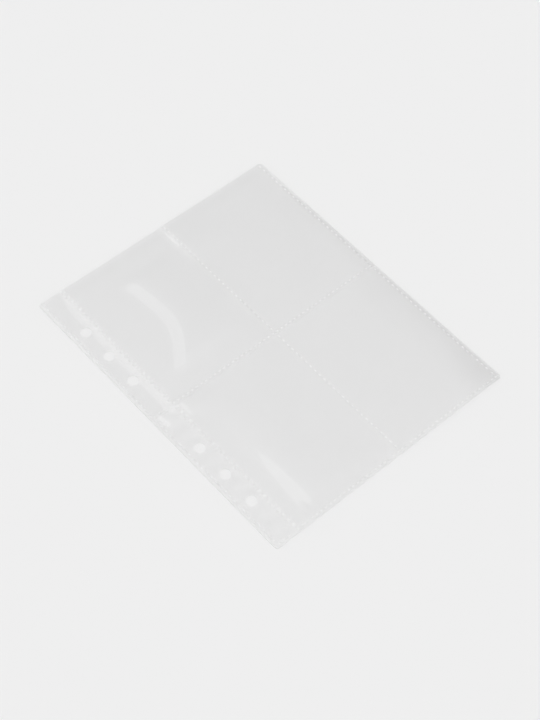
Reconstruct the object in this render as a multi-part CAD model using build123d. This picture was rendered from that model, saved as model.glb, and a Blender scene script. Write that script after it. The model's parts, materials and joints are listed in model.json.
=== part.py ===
"""A clear four-pocket sheet protector page for a six-ring binder, lying flat with its mouths at +Y.

Three cut films make the page: one back film and two front films, the upper one for the top row of
pockets and the lower one for the bottom row. Rows of short heat-weld dashes hold the films together.
The page folds along a line beside the ring holes, and each pocket's front lifts at its mouth, so the
films are divided into separate solids along those flex lines.

The frame: X from the hole edge to the fore edge, Y up the page, Z up from the table, origin at the
middle of the page's underside.
"""

import os

from build123d import *

# Driving dimensions, in millimetres

# The page and its films
PAGE_WIDTH = 150.0
PAGE_HEIGHT = 183.0
CORNER_RADIUS = 2.0
FILM_THICKNESS = 0.15
POCKET_GAP = 0.15

# The ring holes: two groups of three, a little below the middle of the page's height
HOLE_DIAMETER = 5.8
HOLE_INSET = 8.2
HOLE_PITCH = 19.0
HOLE_GROUP_GAP = 51.0
HOLES_PER_GROUP = 3
HOLE_DROP = 0.7

# The fold beside the holes, where the page bends away from the rings
HOLE_RIM_TO_FOLD = 0.9
FOLD_CLEARANCE = 0.3

# The pockets
UPPER_POCKET_DEPTH = 90.0
WELD_TO_LOWER_MOUTH = 2.0
MOUTH_SLIT = 0.3
FLEX_CLEARANCE = 0.2

# Where the welds lie
HOLE_EDGE_WELD_INSET = 1.9
FOLD_TO_BINDING_WELD = 2.4
FORE_EDGE_WELD_INSET = 2.2
BOTTOM_WELD_INSET = 1.8

# The weld dashes: seams up the page are coarser than seams across it
UPRIGHT_PITCH = 3.4
UPRIGHT_DASH_LENGTH = 1.6
CROSSWISE_PITCH = 2.95
CROSSWISE_DASH_LENGTH = 1.5
DASH_WIDTH = 0.8
BINDING_DASH_WIDTH = 1.9
DASH_CORNER_RADIUS = 0.3
DIMPLE_DEPTH = 0.05
DASH_END_CLEARANCE = 0.8
HEM_PAST_WELD = 0.5

# Places worked out from the driving dimensions

LEFT = -PAGE_WIDTH / 2
RIGHT = PAGE_WIDTH / 2
BOTTOM = -PAGE_HEIGHT / 2
TOP = PAGE_HEIGHT / 2

HOLE_RADIUS = HOLE_DIAMETER / 2
HOLE_X = LEFT + HOLE_INSET
FOLD_X = HOLE_X + HOLE_RADIUS + HOLE_RIM_TO_FOLD
STRIP_RIGHT = FOLD_X - FOLD_CLEARANCE
PANEL_LEFT = FOLD_X + FOLD_CLEARANCE

HOLE_EDGE_WELD_X = LEFT + HOLE_EDGE_WELD_INSET
BINDING_WELD_X = FOLD_X + FOLD_TO_BINDING_WELD
FORE_EDGE_WELD_X = RIGHT - FORE_EDGE_WELD_INSET
DIVIDER_WELD_X = (BINDING_WELD_X + FORE_EDGE_WELD_X) / 2
MIDDLE_WELD_Y = TOP - UPPER_POCKET_DEPTH
BOTTOM_WELD_Y = BOTTOM + BOTTOM_WELD_INSET

LOWER_MOUTH_Y = MIDDLE_WELD_Y - WELD_TO_LOWER_MOUTH
UPPER_FILM_BOTTOM = LOWER_MOUTH_Y + MOUTH_SLIT

FRONT_UNDERSIDE = FILM_THICKNESS + POCKET_GAP
FRONT_TOP = FRONT_UNDERSIDE + FILM_THICKNESS

# How far a hem reaches to each side of a weld's centre line
HEM_REACH = DASH_WIDTH / 2 + HEM_PAST_WELD
BINDING_HEM_REACH = BINDING_DASH_WIDTH / 2 + HEM_PAST_WELD

# Outlines on the page's plane


def area(left, right, bottom, top):
    """A rectangle between four lines of the page."""
    centre = Pos((left + right) / 2, (bottom + top) / 2)
    return centre * Rectangle(right - left, top - bottom)


def page_area(left, right, bottom, top):
    """The part of the page's round-cornered outline between four lines."""
    outline = RectangleRounded(PAGE_WIDTH, PAGE_HEIGHT, CORNER_RADIUS)
    return outline & area(left, right, bottom, top)


def hole_centres():
    """Centres of the ring holes, from the lowest to the highest."""
    nearest = HOLE_GROUP_GAP / 2
    upper = [nearest + i * HOLE_PITCH for i in range(HOLES_PER_GROUP)]
    lower = [-y for y in reversed(upper)]
    return [(HOLE_X, y - HOLE_DROP) for y in lower + upper]


def punched(outline, bottom, top):
    """An outline with the ring holes that lie between two heights."""
    for x, y in hole_centres():
        if bottom < y < top:
            outline -= Pos(x, y) * Circle(HOLE_RADIUS)
    return outline


# Weld dashes, each a tuple of centre x, centre y, size along x and size along y


def spaced(start, end, pitch, length):
    """Centres of as many dashes as fit between two ends, evenly spaced and centred."""
    room = end - start - length
    steps = max(int(room / pitch), 0)
    first = (start + end - steps * pitch) / 2
    return [first + i * pitch for i in range(steps + 1)]


def upright_dashes(x, bottom, top, width=DASH_WIDTH):
    """Dashes of a seam that runs up the page."""
    centres = spaced(bottom, top, UPRIGHT_PITCH, UPRIGHT_DASH_LENGTH)
    return [(x, y, width, UPRIGHT_DASH_LENGTH) for y in centres]


def crosswise_dashes(y, left, right):
    """Dashes of a seam that runs across the page."""
    centres = spaced(left, right, CROSSWISE_PITCH, CROSSWISE_DASH_LENGTH)
    return [(x, y, CROSSWISE_DASH_LENGTH, DASH_WIDTH) for x in centres]


def clear_of_holes(dashes):
    """The dashes that no ring hole reaches."""
    kept = []
    for x, y, size_x, size_y in dashes:
        reach_x = HOLE_RADIUS + size_x / 2
        reach_y = HOLE_RADIUS + size_y / 2
        meets = [abs(x - hx) < reach_x and abs(y - hy) < reach_y for hx, hy in hole_centres()]
        if not any(meets):
            kept.append((x, y, size_x, size_y))
    return kept


def upright_seam(x, width=DASH_WIDTH):
    """A seam up the page, in two runs that stop short of the crosswise seams and the top edge."""
    stand_off = DASH_WIDTH / 2 + DASH_END_CLEARANCE
    lower_run = upright_dashes(x, BOTTOM_WELD_Y + stand_off, MIDDLE_WELD_Y - stand_off, width)
    upper_run = upright_dashes(x, MIDDLE_WELD_Y + stand_off, TOP - DASH_END_CLEARANCE, width)
    return lower_run + upper_run


def strip_seam(y):
    """The part of a crosswise seam that lies on the binding strip."""
    left = LEFT + DASH_END_CLEARANCE
    right = STRIP_RIGHT - DASH_END_CLEARANCE
    return clear_of_holes(crosswise_dashes(y, left, right))


def panel_seam(y):
    """The part of a crosswise seam that lies on the pocket panel."""
    left = PANEL_LEFT + DASH_END_CLEARANCE
    right = RIGHT - DASH_END_CLEARANCE
    return crosswise_dashes(y, left, right)


def dash_prisms(dashes, bottom, top):
    """A separate round-cornered prism for each dash, between two heights above the table."""
    prisms = []
    for x, y, size_x, size_y in dashes:
        outline = Pos(x, y, bottom) * RectangleRounded(size_x, size_y, DASH_CORNER_RADIUS)
        prisms.append(extrude(outline, amount=top - bottom, dir=(0, 0, 1)))
    return prisms


# The seams

SEAMS = {
    "hole_edge_weld": clear_of_holes(upright_seam(HOLE_EDGE_WELD_X)),
    "strip_middle_weld": strip_seam(MIDDLE_WELD_Y),
    "strip_bottom_weld": strip_seam(BOTTOM_WELD_Y),
    "binding_weld": upright_seam(BINDING_WELD_X, BINDING_DASH_WIDTH),
    "divider_weld": upright_seam(DIVIDER_WELD_X),
    "fore_edge_weld": upright_seam(FORE_EDGE_WELD_X),
    "middle_weld": panel_seam(MIDDLE_WELD_Y),
    "bottom_weld": panel_seam(BOTTOM_WELD_Y),
}


def weld(name):
    """A seam's fused dashes, which fill the gap between the back film and the front film."""
    solids = []
    for prism in dash_prisms(SEAMS[name], FILM_THICKNESS, FRONT_UNDERSIDE):
        solids += prism.solids()
    return Compound(children=solids)


def dimpled(film, bottom, top, names):
    """A front film with the welding bar's print over each dash of some seams between two heights."""
    dashes = [dash for name in names for dash in SEAMS[name] if bottom < dash[1] < top]
    return film - dash_prisms(dashes, FRONT_TOP - DIMPLE_DEPTH, FRONT_TOP)


# The films

STRIP_SEAMS = ["hole_edge_weld", "strip_middle_weld", "strip_bottom_weld"]
PANEL_SEAMS = ["binding_weld", "divider_weld", "fore_edge_weld", "middle_weld", "bottom_weld"]


def back_film(outline):
    """A film on the table."""
    return extrude(outline, amount=FILM_THICKNESS, dir=(0, 0, 1))


def front_film(outline):
    """A film at the height of the pocket fronts."""
    return extrude(Pos(0, 0, FRONT_UNDERSIDE) * outline, amount=FILM_THICKNESS, dir=(0, 0, 1))


def back_strip():
    """The back film from the hole edge to the fold, with all the ring holes."""
    return back_film(punched(page_area(LEFT, STRIP_RIGHT, BOTTOM, TOP), BOTTOM, TOP))


def back_panel():
    """The back film from the fold to the fore edge, which backs all four pockets."""
    return back_film(page_area(PANEL_LEFT, RIGHT, BOTTOM, TOP))


def strip_front(bottom, top):
    """The front layer of the binding strip between two heights, with its ring holes."""
    outline = punched(page_area(LEFT, STRIP_RIGHT, bottom, top), bottom, top)
    return dimpled(front_film(outline), bottom, top, STRIP_SEAMS)


def pocket_windows(sill, top):
    """The left and right areas between a row's hems, from its lower hem to its mouths."""
    left_window = (BINDING_WELD_X + BINDING_HEM_REACH, DIVIDER_WELD_X - HEM_REACH, sill, top)
    right_window = (DIVIDER_WELD_X + HEM_REACH, FORE_EDGE_WELD_X - HEM_REACH, sill, top)
    return left_window, right_window


def front_hem(bottom, top, sill):
    """The welded border of a front film round its two pockets, open at the mouths."""
    outline = page_area(PANEL_LEFT, RIGHT, bottom, top)
    for window in pocket_windows(sill, top):
        outline -= area(*window)
    return dimpled(front_film(outline), bottom, top, PANEL_SEAMS)


def pocket_front(window):
    """The free middle of a pocket's front, which lifts at the mouth and bends at its lower edge."""
    left, right, sill, top = window
    outline = area(left + FLEX_CLEARANCE, right - FLEX_CLEARANCE, sill + FLEX_CLEARANCE, top)
    return front_film(outline)


UPPER_SILL = MIDDLE_WELD_Y + HEM_REACH
LOWER_SILL = BOTTOM_WELD_Y + HEM_REACH
UPPER_LEFT, UPPER_RIGHT = pocket_windows(UPPER_SILL, TOP)
LOWER_LEFT, LOWER_RIGHT = pocket_windows(LOWER_SILL, LOWER_MOUTH_Y)

# The page, piece by piece

PIECES = {
    "back_strip": back_strip(),
    "back_panel": back_panel(),
    "upper_strip_front": strip_front(UPPER_FILM_BOTTOM, TOP),
    "lower_strip_front": strip_front(BOTTOM, LOWER_MOUTH_Y),
    "upper_front_hem": front_hem(UPPER_FILM_BOTTOM, TOP, UPPER_SILL),
    "lower_front_hem": front_hem(BOTTOM, LOWER_MOUTH_Y, LOWER_SILL),
    "upper_left_pocket_front": pocket_front(UPPER_LEFT),
    "upper_right_pocket_front": pocket_front(UPPER_RIGHT),
    "lower_left_pocket_front": pocket_front(LOWER_LEFT),
    "lower_right_pocket_front": pocket_front(LOWER_RIGHT),
}
for seam_name in SEAMS:
    PIECES[seam_name] = weld(seam_name)

os.makedirs("parts", exist_ok=True)
for piece_name, piece in PIECES.items():
    export_step(piece, f"parts/{piece_name}.step")

# The joint lines, for whoever drives the page
print(f"fold line: x {FOLD_X:.3f}, z {FRONT_TOP / 2:.3f}")
print(f"upper pocket hinges: y {UPPER_SILL + FLEX_CLEARANCE:.3f}, z {FRONT_UNDERSIDE:.3f}")
print(f"lower pocket hinges: y {LOWER_SILL + FLEX_CLEARANCE:.3f}, z {FRONT_UNDERSIDE:.3f}")
print("ring holes:", [(round(x, 3), round(y, 3)) for x, y in hole_centres()])
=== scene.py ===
import json
import math

import bmesh
import bpy
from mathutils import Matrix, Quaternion, Vector
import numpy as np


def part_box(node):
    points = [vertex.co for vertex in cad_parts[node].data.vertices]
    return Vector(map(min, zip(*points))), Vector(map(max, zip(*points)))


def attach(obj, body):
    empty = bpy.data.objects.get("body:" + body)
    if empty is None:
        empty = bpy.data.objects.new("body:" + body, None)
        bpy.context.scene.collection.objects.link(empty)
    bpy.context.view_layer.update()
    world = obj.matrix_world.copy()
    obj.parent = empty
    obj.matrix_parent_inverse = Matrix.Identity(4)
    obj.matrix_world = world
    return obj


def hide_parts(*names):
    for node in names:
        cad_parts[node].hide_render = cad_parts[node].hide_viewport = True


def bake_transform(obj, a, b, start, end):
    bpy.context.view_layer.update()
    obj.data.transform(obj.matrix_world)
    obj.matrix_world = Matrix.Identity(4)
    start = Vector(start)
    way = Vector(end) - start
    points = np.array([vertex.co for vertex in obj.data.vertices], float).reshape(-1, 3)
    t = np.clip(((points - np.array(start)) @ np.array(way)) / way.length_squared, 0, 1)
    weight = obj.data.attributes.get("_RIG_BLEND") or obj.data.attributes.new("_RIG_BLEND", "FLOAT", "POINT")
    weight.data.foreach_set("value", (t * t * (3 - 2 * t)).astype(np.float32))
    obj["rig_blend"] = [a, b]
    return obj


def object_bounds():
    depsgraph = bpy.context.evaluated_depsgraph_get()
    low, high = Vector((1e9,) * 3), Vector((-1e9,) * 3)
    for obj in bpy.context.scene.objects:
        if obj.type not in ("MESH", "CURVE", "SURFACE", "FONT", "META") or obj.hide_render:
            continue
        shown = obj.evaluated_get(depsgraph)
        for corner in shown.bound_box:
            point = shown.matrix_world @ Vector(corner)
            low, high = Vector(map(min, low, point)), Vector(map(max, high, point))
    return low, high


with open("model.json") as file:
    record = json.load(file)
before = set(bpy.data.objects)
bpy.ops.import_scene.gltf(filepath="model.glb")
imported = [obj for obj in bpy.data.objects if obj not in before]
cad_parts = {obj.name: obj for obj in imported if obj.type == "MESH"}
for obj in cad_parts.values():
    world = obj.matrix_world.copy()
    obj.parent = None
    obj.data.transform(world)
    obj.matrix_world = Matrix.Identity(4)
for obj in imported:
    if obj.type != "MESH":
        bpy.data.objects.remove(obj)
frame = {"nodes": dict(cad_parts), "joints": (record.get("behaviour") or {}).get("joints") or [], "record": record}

cad_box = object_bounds()
scene = bpy.context.scene

# The viewpoint
# The page lies flat on a table and is seen from above its bottom left corner, through a long lens
# held a little off level.

MM = 0.001
EYE = Vector((-334.9, -344.7, 681.1)) * MM
AIM = Vector((-6.64, -9.23, 0.0)) * MM
ROLL = math.radians(3.63)
LENS_MM = 82.71
SENSOR_MM = 36.0

viewpoint = bpy.data.objects.new("viewpoint", bpy.data.cameras.new("viewpoint"))
viewpoint.data.lens = LENS_MM
viewpoint.data.sensor_width = SENSOR_MM
viewpoint.location = EYE
viewpoint.rotation_mode = "QUATERNION"
viewpoint.rotation_quaternion = (AIM - EYE).to_track_quat("-Z", "Y") @ Quaternion((0, 0, 1), ROLL)
scene.collection.objects.link(viewpoint)
scene.camera = viewpoint

# The back film
# One sheet of clear cast polypropylene, the full size of the page, cut with rounded corners and
# punched with six ring holes. It lies on the table with three corners curled up a little, and bends
# beside the holes when the page is folded.

LEFT, BOTTOM = cad_box[0].x, cad_box[0].y
RIGHT, TOP = cad_box[1].x, cad_box[1].y
BACK_LOW, BACK_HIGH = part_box("back_panel")
FILM = BACK_HIGH.z - BACK_LOW.z
FILM_IOR = 1.49
CORNER_RADIUS = 2.0 * MM
CELL = 1.2 * MM
CUT_EDGE_ANGLE = math.radians(40)
CUT_EDGE_SLOPE = 0.5

RING_HOLES = [mount for mount in frame["record"]["mounts"] if mount["kind"] == "bore"]
HOLE_RADIUS = RING_HOLES[0]["dims"]["r_mm"] * MM
HOLE_CENTRES = [(mount["pos_m"][0], mount["pos_m"][1]) for mount in RING_HOLES]
HOLE_X = HOLE_CENTRES[0][0]
HOLE_PITCH = HOLE_CENTRES[1][1] - HOLE_CENTRES[0][1]

HINGES = {joint["name"]: joint["pos_m"] for joint in frame["joints"]}
FOLD_X = HINGES["page_fold"][0]
BEND_START = FOLD_X - 0.6 * MM
BEND_END = FOLD_X + 1.4 * MM
HOLE_PATCH = BEND_START - HOLE_X

BINDING_LOW, BINDING_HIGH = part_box("binding_weld")
BINDING_X = (BINDING_LOW.x + BINDING_HIGH.x) / 2
DIVIDER_LOW, DIVIDER_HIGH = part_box("divider_weld")
DIVIDER_X = (DIVIDER_LOW.x + DIVIDER_HIGH.x) / 2

TABLE_GAP = 0.05 * MM
CURL_REACH = 70 * MM
CURLS = [((LEFT, TOP), 0.5 * MM), ((RIGHT, TOP), 0.4 * MM), ((RIGHT, BOTTOM), 0.3 * MM)]
FRONT_SHARE = 0.5


def linear(hex_colour):
    """A hex sRGB colour as linear red, green, blue and alpha."""
    channels = [int(hex_colour[i:i + 2], 16) / 255 for i in (1, 3, 5)]
    return [c / 12.92 if c <= 0.04045 else ((c + 0.055) / 1.055) ** 2.4 for c in channels] + [1.0]


def add_node(tree, kind, inputs=None, **settings):
    """A node with its settings, and its inputs given as values, or as nodes or sockets to link from."""
    node = tree.nodes.new(kind)
    for name, value in settings.items():
        setattr(node, name, value)
    for name, value in (inputs or {}).items():
        if isinstance(value, bpy.types.Node):
            value = next(socket for socket in value.outputs if socket.enabled)
        if isinstance(value, bpy.types.NodeSocket):
            tree.links.new(value, node.inputs[name])
        else:
            node.inputs[name].default_value = value
    return node


def bare_material(name):
    """A new material with an empty node tree."""
    material = bpy.data.materials.new(name)
    material.use_nodes = True
    material.node_tree.nodes.clear()
    return material


def clear_film_material():
    """Cast polypropylene film: clear, glossy, faintly grey, with the slight ripple of the casting roll."""
    material = bare_material("clear_cast_polypropylene")
    tree = material.node_tree
    ripple_size = 9 * MM
    ripple_depth = 0.008 * MM
    haze_size = 5 * MM
    place = add_node(tree, "ShaderNodeTexCoord").outputs["Object"]
    ripple = add_node(tree, "ShaderNodeTexNoise", {"Vector": place, "Scale": 1 / ripple_size, "Detail": 2.0})
    bump = add_node(tree, "ShaderNodeBump", {"Height": ripple, "Distance": ripple_depth, "Strength": 1.0})
    haze = add_node(tree, "ShaderNodeTexNoise", {"Vector": place, "Scale": 1 / haze_size, "Detail": 4.0})
    roughness = add_node(tree, "ShaderNodeMapRange", {
        "Value": haze, "From Min": 0.3, "From Max": 0.7, "To Min": 0.02, "To Max": 0.06})
    shader = add_node(tree, "ShaderNodeBsdfPrincipled", {
        "Base Color": linear("#FBFBFB"), "Roughness": roughness, "IOR": FILM_IOR,
        "Transmission Weight": 1.0, "Normal": bump})
    add_node(tree, "ShaderNodeOutputMaterial", {"Surface": shader})
    return material


def cut_edge_material():
    """The film's sheared edge: frosted and whitish from outside, and clear where light leaves the film."""
    material = bare_material("sheared_film_edge")
    tree = material.node_tree
    shear_size = 0.3 * MM
    place = add_node(tree, "ShaderNodeTexCoord").outputs["Object"]
    shear = add_node(tree, "ShaderNodeTexNoise", {"Vector": place, "Scale": 1 / shear_size})
    roughness = add_node(tree, "ShaderNodeMapRange", {
        "Value": shear, "From Min": 0.3, "From Max": 0.7, "To Min": 0.4, "To Max": 0.7})
    from_inside = add_node(tree, "ShaderNodeNewGeometry").outputs["Backfacing"]
    from_outside = add_node(tree, "ShaderNodeMath", {0: 1.0, 1: from_inside}, operation="SUBTRACT")
    shader = add_node(tree, "ShaderNodeBsdfPrincipled", {
        "Base Color": linear("#FAFAFA"), "Roughness": roughness, "IOR": FILM_IOR,
        "Transmission Weight": 0.15, "Alpha": from_outside})
    add_node(tree, "ShaderNodeOutputMaterial", {"Surface": shader})
    return material


def film_inside_material():
    """The inside of the plastic, where two parts of one film meet and nothing is seen."""
    material = bpy.data.materials.new("inside_of_film")
    material.use_nodes = True
    material.node_tree.nodes["Principled BSDF"].inputs["Alpha"].default_value = 0.0
    return material


def eased(value, start, end):
    """0 before start, 1 after end, and eased between them."""
    share = min(max((value - start) / (end - start), 0.0), 1.0)
    return share * share * (3 - 2 * share)


def fold_rise(x, y):
    """The step up beside the ring holes: crisp on the upper half of the page, in patches on the lower.

    It is a ramp that ends at the binding weld. Near the top edge it narrows, and sinks at the edge itself.
    """
    height = 0.42 * MM
    upper_share = eased(y, -12 * MM, 6 * MM)
    upper_width = 6.3 * MM
    top_narrowing = 3.2 * MM
    lower_width = 11 * MM
    patch_y = HOLE_CENTRES[2][1] - 3.3 * MM
    patch_pitch = HOLE_PITCH / 2
    uneven_pitch = 31 * MM
    unevenness = 4.2 * MM + 0.7 * MM * math.sin(2 * math.pi * y / uneven_pitch)

    upper = upper_width - top_narrowing * eased(y, 76 * MM, 90 * MM)
    lower = lower_width - unevenness * math.cos(2 * math.pi * (y - patch_y) / patch_pitch)
    width = lower + (upper - lower) * upper_share
    ramp = min(max((x - BINDING_HIGH.x) / width + 1, 0.0), 1.0)
    crispness = 0.6 + 0.25 * upper_share
    sinking = 1 - 0.6 * eased(y, TOP - 7.5 * MM, TOP - 1.5 * MM)
    rise = height * (0.7 + 0.3 * upper_share) * sinking
    return rise * (crispness * ramp + (1 - crispness) * eased(ramp, 0.0, 1.0))


def hole_edge_dip(x, y):
    """How far the film lies above its hole edge, which is pressed down along the weld."""
    lower_depth = 0.06 * MM
    upper_depth = 0.085 * MM
    depth = lower_depth + (upper_depth - lower_depth) * eased(y, -10 * MM, 10 * MM)
    return depth * eased(x, LEFT - 0.5 * MM, LEFT + 3 * MM)


def strip_pucker(x, y):
    """A pucker across the strip where the two front films part."""
    height = 0.17 * MM
    across = eased(x, LEFT + 2.5 * MM, LEFT + 7 * MM) * (1 - eased(x, FOLD_X + 5 * MM, FOLD_X + 23 * MM))
    along = eased(y, -12 * MM, -4 * MM) * (1 - eased(y, 0.0, 5 * MM))
    return height * across * along


def divider_rise(x, y):
    """A small ridge that runs down from the top edge along the divider weld."""
    height = 0.38 * MM
    steep_side = 6 * MM
    slow_side = 30 * MM
    crest = DIVIDER_X + 1.2 * MM
    across = eased(x, crest - steep_side, crest) * (1 - eased(x, crest, crest + slow_side))
    along = eased(y, TOP - 34 * MM, TOP - 14 * MM)
    sinking = 1 - 0.35 * eased(y, TOP - 5 * MM, TOP + 2 * MM)
    return height * across * along * sinking


def fore_ridge(x, y):
    """The low swell inside the fore edge, broad at the bottom corner and dying out towards the top one."""
    start = -4 * MM
    edge_width = 9 * MM
    edge_fall = 0.032
    corner_width = 24 * MM
    corner_fall = 0.042
    corner_reach = 40 * MM
    corner = 1 - eased(y, BOTTOM, BOTTOM + corner_reach)
    width = edge_width + (corner_width - edge_width) * corner
    fall = edge_fall + (corner_fall - edge_fall) * corner
    fall *= 1 - 0.5 * eased(y, 40 * MM, 80 * MM)
    height = fall * width / 2
    crest = RIGHT - width
    if x < crest:
        return height * eased(x, start, crest)
    return height * (1 - ((x - crest) / width) ** 2)


def table_lift(x, y):
    """How high the back film's underside lies above the table."""
    lift = TABLE_GAP
    for (corner_x, corner_y), height in CURLS:
        away = math.hypot(x - corner_x, y - corner_y)
        lift += height * max(0.0, 1 - away / CURL_REACH) ** 2
    lift += hole_edge_dip(x, y) + strip_pucker(x, y) + (1 - FRONT_SHARE) * fold_rise(x, y)
    return lift + divider_rise(x, y) + fore_ridge(x, y)


def grid_lines(stops, cell):
    """Lines through every stop, at most a cell apart and at least four to a span."""
    lines = []
    for start, end in zip(stops, stops[1:]):
        count = max(4, math.ceil((end - start) / cell))
        lines += [start + (end - start) * i / count for i in range(count)]
    return lines + [stops[-1]]


def nearest(lines, value):
    """The number of the line nearest to a value."""
    return min(range(len(lines)), key=lambda i: abs(lines[i] - value))


def rounded(x, y, corners):
    """A place on the page, with the square ends of some corners drawn in to their round."""
    for corner_x, corner_y in corners:
        across = 1 - abs(x - corner_x) / CORNER_RADIUS
        along = 1 - abs(y - corner_y) / CORNER_RADIUS
        if across > 0 and along > 0:
            inset_x = CORNER_RADIUS * (1 - across * math.sqrt(1 - along * along / 2))
            inset_y = CORNER_RADIUS * (1 - along * math.sqrt(1 - across * across / 2))
            x = corner_x - math.copysign(inset_x, corner_x)
            y = corner_y - math.copysign(inset_y, corner_y)
    return x, y


def settle(piece):
    """Makes a piece's modifiers its own mesh, smooth but for its cut edges."""
    bpy.context.view_layer.update()
    graph = bpy.context.evaluated_depsgraph_get()
    mesh = bpy.data.meshes.new_from_object(piece.evaluated_get(graph))
    piece.modifiers.clear()
    piece.data = mesh
    mesh.shade_smooth()
    mesh.set_sharp_from_angle(angle=CUT_EDGE_ANGLE)


def cut_film(name, x_stops, y_stops, underside, holes=(), corners=(), joins=()):
    """A film of real thickness over a grid, with ring holes and rounded page corners.

    underside gives the height of the film's lower face at a place on the page. joins are the lines
    across the page where the film runs on in a neighbouring piece, so that nothing shows there.
    """
    xs = grid_lines(x_stops, CELL)
    ys = grid_lines(y_stops, CELL)
    sheet = bmesh.new()
    knots = {}

    def knot(i, j):
        """The grid's vertex in a column and row, made when it is first needed."""
        if (i, j) not in knots:
            x, y = rounded(xs[i], ys[j], corners)
            knots[i, j] = sheet.verts.new((x, y, underside(x, y)))
        return knots[i, j]

    patches = []
    for hole_x, hole_y in holes:
        columns = nearest(xs, hole_x - HOLE_PATCH), nearest(xs, hole_x + HOLE_PATCH)
        rows = nearest(ys, hole_y - HOLE_PATCH), nearest(ys, hole_y + HOLE_PATCH)
        patches.append((*columns, *rows))
    for i in range(len(xs) - 1):
        for j in range(len(ys) - 1):
            if not any(i0 <= i < i1 and j0 <= j < j1 for i0, i1, j0, j1 in patches):
                sheet.faces.new((knot(i, j), knot(i + 1, j), knot(i + 1, j + 1), knot(i, j + 1)))

    for (hole_x, hole_y), (i0, i1, j0, j1) in zip(holes, patches):
        border = [knot(i, j0) for i in range(i0, i1)] + [knot(i1, j) for j in range(j0, j1)]
        border += [knot(i, j1) for i in range(i1, i0, -1)] + [knot(i0, j) for j in range(j1, j0, -1)]
        loops = [border]
        for share in (0.5, 1.0):
            loop = []
            for vertex in border:
                offset = Vector((vertex.co.x - hole_x, vertex.co.y - hole_y))
                offset = offset.lerp(offset.normalized() * HOLE_RADIUS, share)
                x, y = hole_x + offset.x, hole_y + offset.y
                loop.append(sheet.verts.new((x, y, underside(x, y))))
            loops.append(loop)
        for outer, inner in zip(loops, loops[1:]):
            for k in range(len(outer)):
                after = (k + 1) % len(outer)
                sheet.faces.new((outer[k], outer[after], inner[after], inner[k]))

    film = bpy.data.objects.new(name, bpy.data.meshes.new(name))
    sheet.to_mesh(film.data)
    sheet.free()
    scene.collection.objects.link(film)
    thickness = film.modifiers.new("thickness", "SOLIDIFY")
    thickness.thickness = FILM
    thickness.offset = 1.0
    settle(film)
    for material in FILM_MATERIALS:
        film.data.materials.append(material)
    for face in film.data.polygons:
        if abs(face.normal.z) < CUT_EDGE_SLOPE:
            is_join = any(abs(face.center.x - join) < FILM / 10 for join in joins)
            face.material_index = FILM_MATERIALS.index(FILM_INSIDE if is_join else CUT_EDGE)
    return film


def hole_stops(low, high):
    """Grid stops up the page at both sides of each ring hole between two heights."""
    return [y + side for _, y in HOLE_CENTRES if low < y < high for side in (-HOLE_PATCH, HOLE_PATCH)]


def bend_at_fold(film):
    """Lets a film bend beside the ring holes as the page folds."""
    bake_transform(film, "binding_strip", "page", start=(BEND_START, 0, 0), end=(BEND_END, 0, 0))


CLEAR_FILM = clear_film_material()
CUT_EDGE = cut_edge_material()
FILM_INSIDE = film_inside_material()
FILM_MATERIALS = [CLEAR_FILM, CUT_EDGE, FILM_INSIDE]
STRIP_STOPS = [LEFT, LEFT + CORNER_RADIUS, HOLE_X - HOLE_PATCH, BEND_START, BEND_END]

back_film = cut_film(
    "back_film",
    STRIP_STOPS + [RIGHT - CORNER_RADIUS, RIGHT],
    [BOTTOM, BOTTOM + CORNER_RADIUS, *hole_stops(BOTTOM, TOP), TOP - CORNER_RADIUS, TOP],
    table_lift,
    holes=HOLE_CENTRES,
    corners=[(x, y) for x in (LEFT, RIGHT) for y in (BOTTOM, TOP)])
bend_at_fold(back_film)
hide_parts("back_strip", "back_panel")

# The binding strip's front films
# The two front films run on past the pockets to the hole edge, where they lie close on the back
# film and share its ring holes. The cut between them is the lower pockets' mouth line.

FRONT_GAP = 0.06 * MM
PUFF_REACH = 40 * MM
UPPER_FILM_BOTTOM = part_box("upper_strip_front")[0].y
LOWER_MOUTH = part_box("lower_strip_front")[1].y


def strip_lift(x, y):
    """How high a front film's underside lies above the table, a little puffed up beside the ring holes."""
    puff = FRONT_SHARE * fold_rise(x, y) * (1 - eased(x, BINDING_HIGH.x, BINDING_HIGH.x + PUFF_REACH))
    return table_lift(x, y) + FILM + FRONT_GAP + puff


for name, low, high in (("upper_strip", UPPER_FILM_BOTTOM, TOP), ("lower_strip", BOTTOM, LOWER_MOUTH)):
    is_upper = name == "upper_strip"
    corner_stop = TOP - CORNER_RADIUS if is_upper else BOTTOM + CORNER_RADIUS
    strip = cut_film(
        f"{name}_front_film",
        STRIP_STOPS + [BINDING_X],
        sorted([low, high, corner_stop, *hole_stops(low, high)]),
        strip_lift,
        holes=[centre for centre in HOLE_CENTRES if low < centre[1] < high],
        corners=[(LEFT, high if is_upper else low)],
        joins=[BINDING_X])
    bend_at_fold(strip)
    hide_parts(f"{name}_front")

# The pocket fronts
# Each pocket's front is the part of a front film between its welds. It is held on three sides and
# free along its mouth, so it lies in a shallow pillow and bows up when the mouth is opened.

MOUTH_EASE = 20 * MM
ARCH_POWER = 1.5
SILL_EASE = 9 * MM


def buckle(across, spine, width):
    """A buckle's outline across a pocket: a quick rise about its spine and a slow fall to the far weld."""
    crest = spine + width / 2
    return eased(across, spine - width / 2, crest) * (1 - eased(across, crest, 1.0))


def right_pillow(across, up):
    """A pocket beside the fore edge: a slow rise from the divider and a quicker fall to the edge's weld."""
    height = 0.3 * MM
    crest = 0.7
    return height * eased(across, 0.0, crest) * (1 - eased(across, crest, 1.0)) * up


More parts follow.
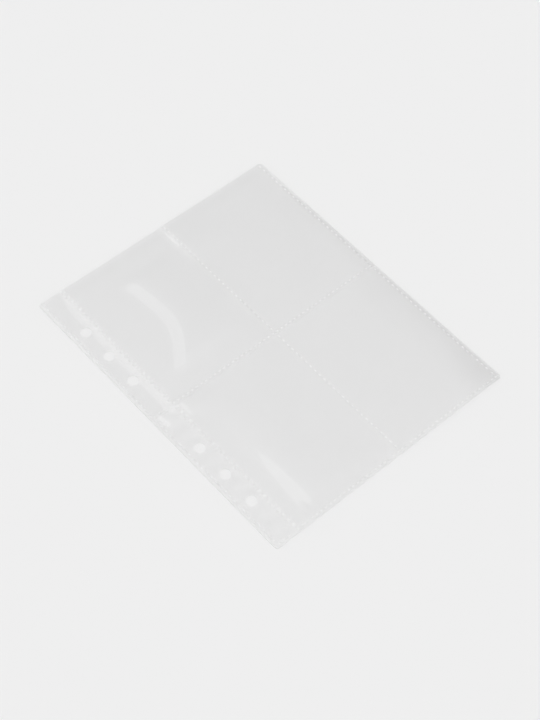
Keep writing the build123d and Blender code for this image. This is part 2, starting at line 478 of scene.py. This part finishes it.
def upper_left_pillow(across, up):
    """A pocket with a soft buckle, which turns towards the holes as it runs down the page."""
    height = 0.82 * MM
    buckle_width = 0.185
    upper_turn = 0.54
    lower_turn = 2.1
    above_turn = up - 0.49
    spine = 0.463 - (upper_turn if above_turn > 0 else lower_turn) * above_turn ** 2
    along = eased(up, 0.1, 0.2) * (1 - eased(up, 0.76, 0.84))
    return height * (1 + max(0.0, -above_turn)) * buckle(across, spine, buckle_width) * along


def lower_left_pillow(across, up):
    """A pocket with a buckle that widens to a forked end, and with a mouth that gapes by the holes."""
    height = 0.82 * MM
    buckle_width = 0.18
    fork = 0.035
    gape_height = 0.2 * MM
    spine = 0.165 + 0.045 * up
    notch = fork * max(0.0, 1 - abs(across - spine) / fork)
    along = eased(up, 0.05 + notch, 0.08 + notch) * (1 - eased(up, 0.1, 1.0))
    gape = eased(across, 0.0, 0.05) * (1 - eased(across, 0.07, 0.3)) * eased(up, 0.87, 0.92)
    return height * buckle(across, spine, buckle_width) * along + gape_height * gape


POCKETS = {
    "upper_left": ((BINDING_X, DIVIDER_X), upper_left_pillow),
    "upper_right": ((DIVIDER_X, RIGHT), right_pillow),
    "lower_left": ((BINDING_X, DIVIDER_X), lower_left_pillow),
    "lower_right": ((DIVIDER_X, RIGHT), right_pillow),
}

for name, ((left, right), pillow) in POCKETS.items():
    is_upper = name.startswith("upper")
    is_right = name.endswith("right")
    low, high = (UPPER_FILM_BOTTOM, TOP) if is_upper else (BOTTOM, LOWER_MOUTH)
    window_low, window_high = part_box(f"{name}_pocket_front")
    width = window_high.x - window_low.x
    depth = window_high.y - window_low.y

    def pocket_lift(x, y):
        """How high the front film's underside lies above the table over one pocket."""
        across = min(max((x - window_low.x) / width, 0.0), 1.0)
        up = min(max((y - window_low.y) / depth, 0.0), 1.0)
        return strip_lift(x, y) + pillow(across, up) * eased(y, window_low.y, window_low.y + SILL_EASE)

    corner_y = TOP if is_upper else BOTTOM
    corner_stop = corner_y - math.copysign(CORNER_RADIUS, corner_y)
    front = cut_film(
        f"{name}_front_film",
        [left, right - CORNER_RADIUS, right] if is_right else [left, right],
        sorted([low, high, corner_stop]),
        pocket_lift,
        corners=[(RIGHT, corner_y)] if is_right else (),
        joins=[BINDING_X, DIVIDER_X])
    hinge_y = HINGES[f"{name}_mouth"][1]
    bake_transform(front, "page", f"{name}_front", start=(0, hinge_y, 0), end=(0, hinge_y + MOUTH_EASE, 0))
    for vertex, weight in zip(front.data.vertices, front.data.attributes["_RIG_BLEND"].data):
        across = min(max((vertex.co.x - window_low.x) / width, 0.0), 1.0)
        weight.value *= math.sin(math.pi * across) ** ARCH_POWER
    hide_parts(f"{name}_pocket_front", "upper_front_hem" if is_upper else "lower_front_hem")

# The welds
# A toothed heated bar fuses the films in rows of short dashes. Each dash is a small pad of film
# melted through both layers, whose face is frosted by the bar and stands a little above the film.

PAD_HEIGHT = 0.04 * MM
PAD_GAP = 0.01 * MM
PAD_ROUND = 0.3 * MM
PAD_TOP_SHARE = 0.85
PAD_ARC_POINTS = 3
PAD_SEAM = 0.001 * MM
DASH_GAP = 1.2 * MM


def fused_weld_material():
    """Fused polypropylene: the same film, frosted white where the bar has bitten it."""
    material = bare_material("fused_polypropylene_weld")
    tree = material.node_tree
    grain_size = 0.4 * MM
    place = add_node(tree, "ShaderNodeTexCoord").outputs["Object"]
    grain = add_node(tree, "ShaderNodeTexNoise", {"Vector": place, "Scale": 1 / grain_size, "Detail": 2.0})
    roughness = add_node(tree, "ShaderNodeMapRange", {
        "Value": grain, "From Min": 0.3, "From Max": 0.7, "To Min": 0.3, "To Max": 0.55})
    shader = add_node(tree, "ShaderNodeBsdfPrincipled", {
        "Base Color": linear("#F3F3F3"), "Roughness": roughness, "IOR": FILM_IOR,
        "Transmission Weight": 0.98})
    add_node(tree, "ShaderNodeOutputMaterial", {"Surface": shader})
    return material


def weld_pad_tree():
    """A node tree that sets one rounded, slightly tapered pad on each point of a mesh."""
    tree = bpy.data.node_groups.new("weld_pads", "GeometryNodeTree")
    tree.interface.new_socket("Geometry", in_out="INPUT", socket_type="NodeSocketGeometry")
    for label in ("Size X", "Size Y", "Height", "Round"):
        tree.interface.new_socket(label, in_out="INPUT", socket_type="NodeSocketFloat")
    tree.interface.new_socket("Material", in_out="INPUT", socket_type="NodeSocketMaterial")
    tree.interface.new_socket("Geometry", in_out="OUTPUT", socket_type="NodeSocketGeometry")
    sizes = add_node(tree, "NodeGroupInput").outputs
    outline = add_node(tree, "GeometryNodeCurvePrimitiveQuadrilateral", {
        "Width": sizes["Size X"], "Height": sizes["Size Y"]})
    fillet = add_node(tree, "GeometryNodeFilletCurve", {
        "Curve": outline, "Radius": sizes["Round"], "Count": PAD_ARC_POINTS}, mode="POLY")
    base = add_node(tree, "GeometryNodeFillCurve", {"Curve": fillet}, mode="NGONS")
    upward = add_node(tree, "ShaderNodeCombineXYZ", {"Z": 1.0})
    raised = add_node(tree, "GeometryNodeExtrudeMesh", {
        "Mesh": base, "Offset": upward, "Offset Scale": sizes["Height"]})
    tapered = add_node(tree, "GeometryNodeScaleElements", {
        "Geometry": raised, "Selection": raised.outputs["Top"], "Scale": PAD_TOP_SHARE})
    underside = add_node(tree, "GeometryNodeFlipFaces", {"Mesh": base})
    shell = add_node(tree, "GeometryNodeJoinGeometry")
    tree.links.new(tapered.outputs["Geometry"], shell.inputs["Geometry"])
    tree.links.new(underside.outputs["Mesh"], shell.inputs["Geometry"])
    pad = add_node(tree, "GeometryNodeMergeByDistance", {"Geometry": shell, "Distance": PAD_SEAM})
    placed = add_node(tree, "GeometryNodeInstanceOnPoints", {
        "Points": sizes["Geometry"], "Instance": pad})
    real = add_node(tree, "GeometryNodeRealizeInstances", {"Geometry": placed})
    painted = add_node(tree, "GeometryNodeSetMaterial", {
        "Geometry": real, "Material": sizes["Material"]})
    add_node(tree, "NodeGroupOutput", {"Geometry": painted})
    return tree


def dash_spans(values):
    """The lowest and highest value of each dash along a seam, split where the values leave a gap."""
    ordered = sorted(values)
    spans = [[ordered[0], ordered[0]]]
    for value in ordered:
        if value - spans[-1][1] > DASH_GAP:
            spans.append([value, value])
        spans[-1][1] = value
    return spans


def weld_row(node, body, tree, material):
    """A seam's pads, one over each dash of the seam in the frame."""
    low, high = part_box(node)
    is_upright = high.y - low.y > high.x - low.x
    places = [vertex.co for vertex in frame["nodes"][node].data.vertices]
    spans = dash_spans([place.y if is_upright else place.x for place in places])
    seam_x, seam_y = (low.x + high.x) / 2, (low.y + high.y) / 2
    centres = [(start + end) / 2 for start, end in spans]
    dash_length = spans[0][1] - spans[0][0]
    dash_width = high.x - low.x if is_upright else high.y - low.y
    dots = [(seam_x, centre) if is_upright else (centre, seam_y) for centre in centres]

    row = bpy.data.objects.new(node.replace("weld", "weld_pads"), bpy.data.meshes.new(node))
    row.data.from_pydata([(x, y, 0) for x, y in dots], [], [])
    scene.collection.objects.link(row)
    pads = row.modifiers.new("pads", "NODES")
    pads.node_group = tree
    settings = {
        "Size X": dash_width if is_upright else dash_length,
        "Size Y": dash_length if is_upright else dash_width,
        "Height": PAD_HEIGHT,
        "Round": PAD_ROUND,
        "Material": material,
    }
    for socket in tree.interface.items_tree:
        if socket.name in settings:
            pads[socket.identifier] = settings[socket.name]
    settle(row)
    for vertex in row.data.vertices:
        vertex.co.z += strip_lift(vertex.co.x, vertex.co.y) + FILM + PAD_GAP

    # The pads throw no shadow, and stay out of light that is scattered or passes through the film.
    row.visible_shadow = False
    row.visible_diffuse = False
    row.visible_transmission = False
    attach(row, body)
    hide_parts(node)


WELD_BODIES = {
    "binding_strip": ["hole_edge_weld", "strip_middle_weld", "strip_bottom_weld"],
    "page": ["binding_weld", "divider_weld", "fore_edge_weld", "middle_weld", "bottom_weld"],
}
weld_pads = weld_pad_tree()
fused_weld = fused_weld_material()
for body, nodes in WELD_BODIES.items():
    for node in nodes:
        weld_row(node, body, weld_pads, fused_weld)

# The table
# A wide, matt, pale table, on which the page lies.

TABLE_SIZE = 20.0

table = bpy.data.objects.new("table", bpy.data.meshes.new("table"))
half = TABLE_SIZE / 2
table_corners = [(-half, -half, 0), (half, -half, 0), (half, half, 0), (-half, half, 0)]
table.data.from_pydata(table_corners, [], [(0, 1, 2, 3)])
matt = bpy.data.materials.new("matt_pale_table")
matt.use_nodes = True
table_shader = matt.node_tree.nodes["Principled BSDF"]
table_shader.inputs["Base Color"].default_value = linear("#F1F1F1")
table_shader.inputs["Roughness"].default_value = 1.0
table_shader.inputs["Specular IOR Level"].default_value = 0.0
table.data.materials.append(matt)
scene.collection.objects.link(table)

# The room's light
# A white ceiling over grey walls, with tall soft-edged windows all round. A broad soft light stands
# beyond the page: its bright side makes the film's glints, and a dark screen on its other side the
# shade along the fore edge.

CEILING = 1.19
WALL = 0.62
WINDOW = 1.06
WINDOW_COUNT = 6
WINDOW_SOFTNESS = 0.8
SKIRTING_HEIGHTS = (0.02, 0.08)
CEILING_HEIGHTS = (0.85, 0.7)

# The way to the middle of the broad light, and its two directions.
LIGHT_MIDDLE = Vector((0.396, 0.405, 0.824))
LIGHT_SIDEWAYS = Vector((0.915, -0.18, -0.354))
LIGHT_UPWARDS = Vector((-0.18, 0.914, -0.369))

# Places across the broad light and its strength there.
LIGHT_ACROSS = [(-0.34, 1.0), (-0.30, 1.72), (-0.150, 1.72), (-0.148, 1.28), (-0.07, 1.21), (0.0, 1.04),
                (0.08, 0.93), (0.11, 0.74), (0.15, 0.43), (0.32, 0.42), (0.45, 1.0)]
LIGHT_ACROSS_REACH = 0.5
LIGHT_FALL = 0.18
LIGHT_FALL_REACH = 0.15
LIGHT_UP_REACH = math.sin(math.radians(25))
LIGHT_UP_EDGE = LIGHT_UP_REACH * 1.2
LIGHT_ROUND = (0.80, 0.86)
LIGHT_BOUNCES = 24

room = bpy.data.worlds.new("white_room")
scene.world = room
room.use_nodes = True
tree = room.node_tree
tree.nodes.clear()

direction = add_node(tree, "ShaderNodeTexCoord").outputs["Generated"]
parts = add_node(tree, "ShaderNodeSeparateXYZ", {"Vector": direction}).outputs
bearing = add_node(tree, "ShaderNodeMath", {0: parts["Y"], 1: parts["X"]}, operation="ARCTAN2")
turns = add_node(tree, "ShaderNodeMath", {0: bearing, 1: WINDOW_COUNT}, operation="MULTIPLY")
pane = add_node(tree, "ShaderNodeMath", {0: turns}, operation="SINE")
wall = add_node(tree, "ShaderNodeMapRange", {
    "Value": pane, "From Min": -WINDOW_SOFTNESS, "From Max": WINDOW_SOFTNESS,
    "To Min": WALL, "To Max": WINDOW})
above_skirting = add_node(tree, "ShaderNodeMapRange", {
    "Value": parts["Z"], "From Min": SKIRTING_HEIGHTS[0], "From Max": SKIRTING_HEIGHTS[1]})
below_ceiling = add_node(tree, "ShaderNodeMapRange", {
    "Value": parts["Z"], "From Min": CEILING_HEIGHTS[0], "From Max": CEILING_HEIGHTS[1]})
wall_share = add_node(tree, "ShaderNodeMath", {0: above_skirting, 1: below_ceiling}, operation="MULTIPLY")
surround = add_node(tree, "ShaderNodeMix", {"Factor": wall_share, "A": CEILING, "B": wall})

across = add_node(tree, "ShaderNodeVectorMath", {0: direction, 1: LIGHT_SIDEWAYS}, operation="DOT_PRODUCT")
up = add_node(tree, "ShaderNodeVectorMath", {0: direction, 1: LIGHT_UPWARDS}, operation="DOT_PRODUCT")
facing = add_node(tree, "ShaderNodeVectorMath", {0: direction, 1: LIGHT_MIDDLE}, operation="DOT_PRODUCT")
across_share = add_node(tree, "ShaderNodeMapRange", {
    "Value": across, "From Min": -LIGHT_ACROSS_REACH, "From Max": LIGHT_ACROSS_REACH})
ramp = add_node(tree, "ShaderNodeValToRGB", {"Fac": across_share})
stops = ramp.color_ramp.elements
while len(stops) < len(LIGHT_ACROSS):
    stops.new(0.5)
for stop, (place, level) in zip(stops, LIGHT_ACROSS):
    stop.position = place / (2 * LIGHT_ACROSS_REACH) + 0.5
    stop.color = (level, level, level, 1.0)
fall = add_node(tree, "ShaderNodeMapRange", {
    "Value": up, "From Min": -LIGHT_FALL_REACH, "From Max": LIGHT_FALL_REACH,
    "To Min": LIGHT_FALL, "To Max": -LIGHT_FALL})
light = add_node(tree, "ShaderNodeMath", {0: ramp, 1: fall}, operation="ADD")
off_middle = add_node(tree, "ShaderNodeMath", {0: up}, operation="ABSOLUTE")
within_height = add_node(tree, "ShaderNodeMapRange", {
    "Value": off_middle, "From Min": LIGHT_UP_EDGE, "From Max": LIGHT_UP_REACH})
within_round = add_node(tree, "ShaderNodeMapRange", {
    "Value": facing, "From Min": LIGHT_ROUND[0], "From Max": LIGHT_ROUND[1]})
light_share = add_node(tree, "ShaderNodeMath", {0: within_height, 1: within_round}, operation="MULTIPLY")
strength = add_node(tree, "ShaderNodeMix", {"Factor": light_share, "A": surround, "B": light})
glow = add_node(tree, "ShaderNodeBackground", {"Color": linear("#FFFFFF"), "Strength": strength})
add_node(tree, "ShaderNodeOutputWorld", {"Surface": glow})

scene.view_settings.view_transform = "Standard"
scene.cycles.max_bounces = LIGHT_BOUNCES
scene.cycles.transmission_bounces = LIGHT_BOUNCES
scene.cycles.blur_glossy = 0.0
